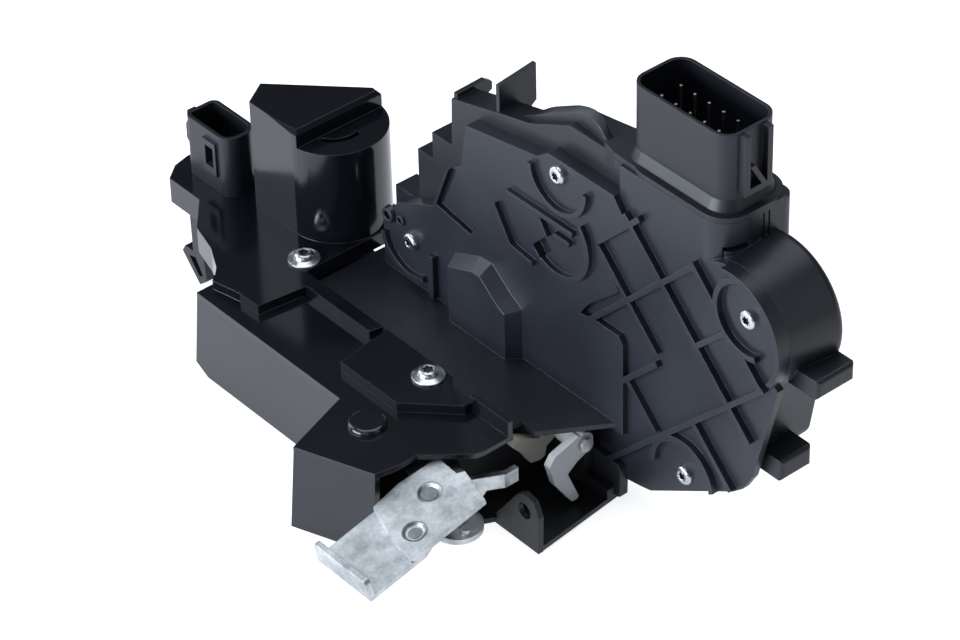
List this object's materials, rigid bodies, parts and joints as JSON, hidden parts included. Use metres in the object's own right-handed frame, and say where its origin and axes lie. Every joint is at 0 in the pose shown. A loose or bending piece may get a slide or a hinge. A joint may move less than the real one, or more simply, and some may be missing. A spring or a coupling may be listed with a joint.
{
  "type": "door latch actuator",
  "caption": "Power door latch: ribbed gear case with a top plug socket over a glossy latch cover with motor tower, steel face plate, claw and pawl, tilted release lever.",
  "frame": {"origin": "centre of the seated striker on the outer face of the face plate", "axes": "+X along the unit toward the release lever, +Y out of the striker mouth toward the gear case back, +Z square off the face plate toward the main socket"},
  "size_m": [0.2396, 0.1152, 0.1362],
  "materials": {
    "cover_plastic": "semi-gloss moulded black",
    "case_plastic": "satin moulded black",
    "connector_plastic": "satin moulded black",
    "clip_plastic": "satin moulded black",
    "body_plastic": "satin glass-filled black",
    "jacket_plastic": "satin black",
    "terminal_metal": "tin plated",
    "plated_steel": "zinc plated, satin",
    "black_steel": "black coated sheet",
    "dark_steel": "phosphated",
    "pin_steel": "turned",
    "spring_steel": "drawn wire",
    "screw_steel": "zinc plated",
    "motor_steel": "drawn can",
    "rubber": "soft",
    "white_nylon": "milky",
    "ivory_nylon": "ivory"
  },
  "bodies": {
    "frame": {"latch_cover": "cover_plastic", "actuator_cover": "cover_plastic", "actuator_housing": "case_plastic", "small_connector": "connector_plastic", "small_terminals": "terminal_metal", "main_terminals": "terminal_metal", "side_clip": "clip_plastic", "latch_body": "body_plastic", "face_plate": "black_steel", "pivot_pins": "pin_steel", "claw_spring": "spring_steel", "pawl_spring": "spring_steel", "striker_bumper": "rubber", "lever_bracket": "plated_steel", "release_pivot": "pin_steel", "link_pin": "pin_steel", "lever_shaft": "pin_steel", "return_spring": "spring_steel", "cover_screws": "screw_steel", "flange_screws": "screw_steel", "motor": "motor_steel"},
    "claw": {"claw": "plated_steel", "claw_jacket": "jacket_plastic"},
    "pawl": {"pawl": "dark_steel"},
    "release": {"release_lever": "plated_steel", "release_lever_plate": "plated_steel", "clinch_rivet": "pin_steel"},
    "link": {"link_lever": "plated_steel"},
    "lock": {"lock_lever": "white_nylon"},
    "inside": {"inside_lever": "ivory_nylon"},
    "worm": {"worm": "pin_steel"},
    "wheel": {"worm_wheel": "ivory_nylon"}
  },
  "joints": [
    {"name": "claw_turn", "type": "hinge", "parent": "frame", "child": "claw", "pos_m": [-0.017, -0.004, 0.0042], "axis": [0, 0, 1], "range_deg": [0, 36]},
    {"name": "pawl_turn", "type": "hinge", "parent": "frame", "child": "pawl", "pos_m": [0.0157, -0.0037, 0.0042], "axis": [0, 0, 1], "range_deg": [0, 14]},
    {"name": "release_swing", "type": "hinge", "parent": "frame", "child": "release", "pos_m": [0.0654, -0.0384, 0.02355], "axis": [0, -0.225, 0.9744], "range_deg": [0, 15], "stiffness_Nm_per_rad": 0.2, "springref_deg": -5.73},
    {"name": "link_swing", "type": "hinge", "parent": "frame", "child": "link", "pos_m": [0.0663, -0.0299, 0.0102], "axis": [0, 0, 1], "range_deg": [0, 12], "stiffness_Nm_per_rad": 0.05, "springref_deg": -5.73},
    {"name": "lock_swing", "type": "hinge", "parent": "frame", "child": "lock", "pos_m": [0.073, 0.0088, 0.0212], "axis": [1, 0, 0], "range_deg": [0, 14]},
    {"name": "inside_swing", "type": "hinge", "parent": "frame", "child": "inside", "pos_m": [0.063, 0.0088, 0.0212], "axis": [1, 0, 0], "range_deg": [0, 14], "stiffness_Nm_per_rad": 0.01, "springref_deg": -8.59},
    {"name": "wheel_turn", "type": "hinge", "parent": "frame", "child": "wheel", "pos_m": [0.1216, 0.0295, 0.0835], "axis": [0, 1, 0], "range_deg": [-60, 60]},
    {"name": "worm_turn", "type": "hinge", "parent": "frame", "child": "worm", "pos_m": [0.1038, 0.0285, 0.0772], "axis": [0, 0, 1], "range_deg": [-1800, 1800]}
  ],
  "couplings": [
    {"joint": "pawl_turn", "follows": "claw_turn", "ratio": 0.38889},
    {"joint": "worm_turn", "follows": "wheel_turn", "ratio": 30}
  ]
}
